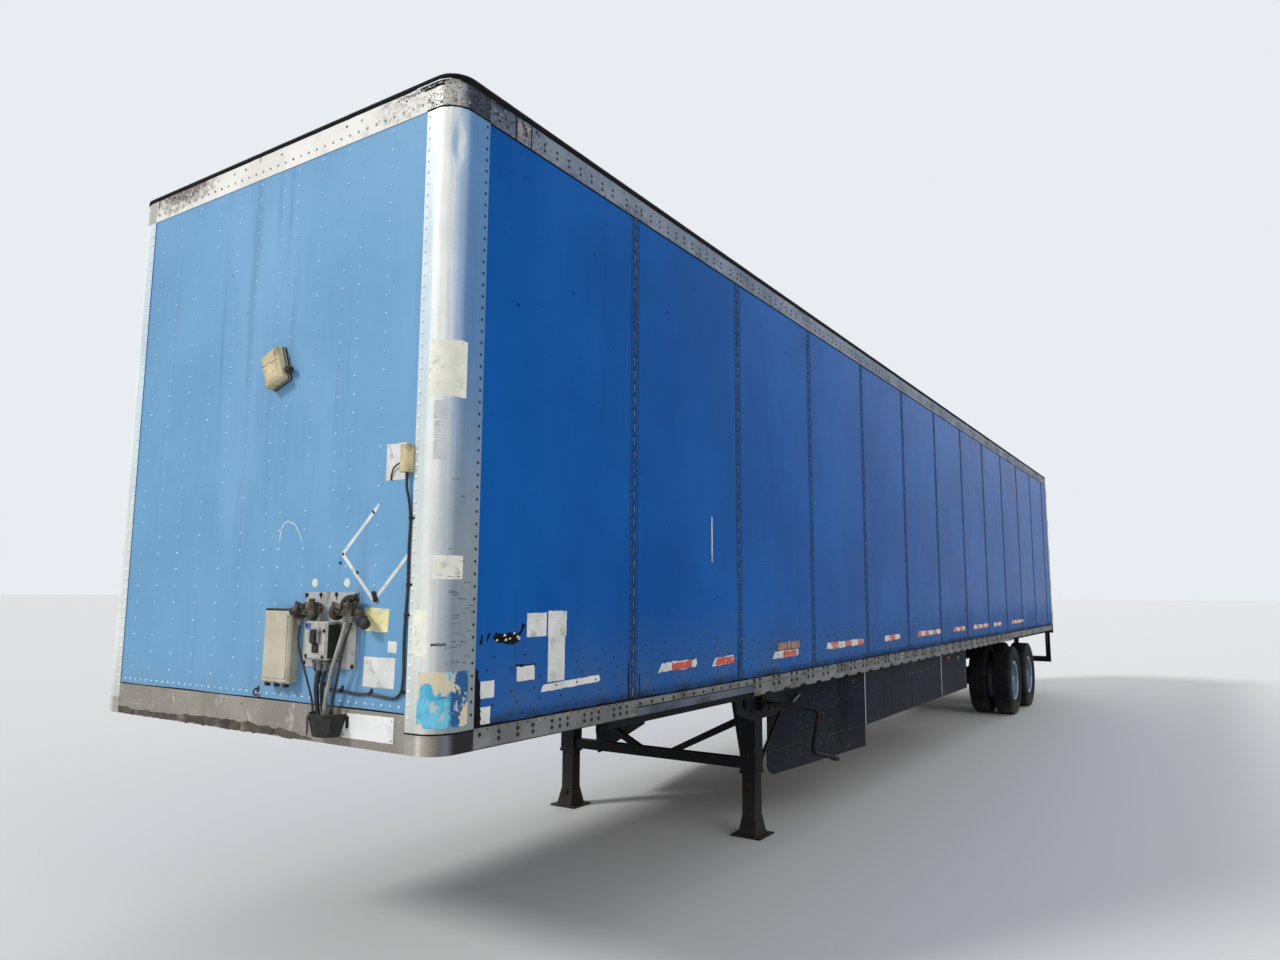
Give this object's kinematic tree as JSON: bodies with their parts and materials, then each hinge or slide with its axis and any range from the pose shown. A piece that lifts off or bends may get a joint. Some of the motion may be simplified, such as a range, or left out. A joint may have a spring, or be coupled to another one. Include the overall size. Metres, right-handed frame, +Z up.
{
  "type": "dry van semi trailer",
  "caption": "Long box semi trailer with plated walls, swing rear doors, landing legs, side skirts and a sliding tandem with dual wheels.",
  "frame": {"origin": "on the ground, under the middle of the trailer's length and width", "axes": "+Z up; +Y to the rear along the length; +X to the trailer's left, which is the road side"},
  "size_m": [2.611, 16.324, 4.115],
  "materials": {
    "blue_panel": "semi-gloss blue paint, faded",
    "bare_aluminium": "bare mill aluminium, scuffed",
    "off_white_rail": "chalky off-white paint, grimy",
    "grey_steel": "galvanised grey, stained",
    "black_steel": "worn black paint, dusty",
    "roof_sheet": "bare aluminium sheet",
    "floor_wood": "worn laminated hardwood",
    "liner_steel": "white coil-coated liner, scuffed",
    "machined_steel": "greased machined steel",
    "skirt_plastic": "dark grey dusty composite",
    "wheel_paint": "silver wheel paint, dusty",
    "tyre_rubber": "worn tyre rubber",
    "black_rubber": "matt black rubber",
    "beige_plastic": "sun-yellowed plastic",
    "grey_box": "weathered grey cast box",
    "lamp_amber": "amber lens",
    "lamp_red": "red lens",
    "cast_fitting": "weathered casting",
    "hose_black": "black hose"
  },
  "bodies": {
    "van": {"side_panels": "blue_panel", "seam_posts": "liner_steel", "scuff_liners": "liner_steel", "corner_posts": "bare_aluminium", "rail_corner_caps": "off_white_rail", "nose_panel": "blue_panel", "front_top_rail": "off_white_rail", "front_bottom_rail": "grey_steel", "top_rails": "off_white_rail", "bottom_rails": "off_white_rail", "roof_skin": "roof_sheet", "roof_bows": "grey_steel", "floor_boards": "floor_wood", "crossmembers": "black_steel", "upper_coupler": "black_steel", "kingpin": "machined_steel", "rear_posts": "bare_aluminium", "rear_header": "bare_aluminium", "rear_sill": "black_steel", "dock_bumpers": "black_rubber", "guard_bar": "black_steel", "guard_posts": "black_steel", "hinge_brackets": "grey_steel", "leg_mounts": "black_steel", "leg_tubes": "black_steel", "leg_shoes": "black_steel", "leg_braces": "black_steel", "crank_handle": "black_steel", "side_skirts": "skirt_plastic", "skirt_struts": "black_steel", "slide_rails": "black_steel", "back_plate": "grey_steel", "document_box": "beige_plastic", "junction_box": "grey_box", "gladhands": "cast_fitting", "hose_tray": "black_rubber", "air_lines": "hose_black", "electric_lines": "hose_black", "lamp_harness": "hose_black", "front_lamps": "beige_plastic", "side_markers": "lamp_amber", "tail_lamps": "lamp_red"},
    "tandem": {"tandem_frame": "black_steel", "suspension": "black_steel", "axles": "black_steel", "air_tank": "black_steel"},
    "door_left": {"door_panel_left": "blue_panel", "door_hardware_left": "grey_steel"},
    "door_right": {"door_panel_right": "blue_panel", "door_hardware_right": "grey_steel"},
    "dual_front_left": {"wheels_front_left": "wheel_paint", "tyres_front_left": "tyre_rubber"},
    "dual_front_right": {"wheels_front_right": "wheel_paint", "tyres_front_right": "tyre_rubber"},
    "dual_rear_left": {"wheels_rear_left": "wheel_paint", "tyres_rear_left": "tyre_rubber"},
    "dual_rear_right": {"wheels_rear_right": "wheel_paint", "tyres_rear_right": "tyre_rubber"}
  },
  "joints": [
    {"name": "tandem_slide", "type": "slide", "parent": "van", "child": "tandem", "axis": [0, 1, 0], "range_m": [-1.8, 1.2]},
    {"name": "door_left_swing", "type": "hinge", "parent": "van", "child": "door_left", "pos_m": [1.2795, 8.133, 2.6], "axis": [0, 0, -1], "range_deg": [0, 270]},
    {"name": "door_right_swing", "type": "hinge", "parent": "van", "child": "door_right", "pos_m": [-1.2795, 8.133, 2.6], "axis": [0, 0, 1], "range_deg": [0, 270]},
    {"name": "wheel_front_left_spin", "type": "hinge", "parent": "tandem", "child": "dual_front_left", "pos_m": [0.9725, 4.193, 0.513], "axis": [1, 0, 0], "continuous": true},
    {"name": "wheel_front_right_spin", "type": "hinge", "parent": "tandem", "child": "dual_front_right", "pos_m": [-0.9725, 4.193, 0.513], "axis": [1, 0, 0], "continuous": true},
    {"name": "wheel_rear_left_spin", "type": "hinge", "parent": "tandem", "child": "dual_rear_left", "pos_m": [0.9725, 5.438, 0.513], "axis": [1, 0, 0], "continuous": true},
    {"name": "wheel_rear_right_spin", "type": "hinge", "parent": "tandem", "child": "dual_rear_right", "pos_m": [-0.9725, 5.438, 0.513], "axis": [1, 0, 0], "continuous": true}
  ]
}
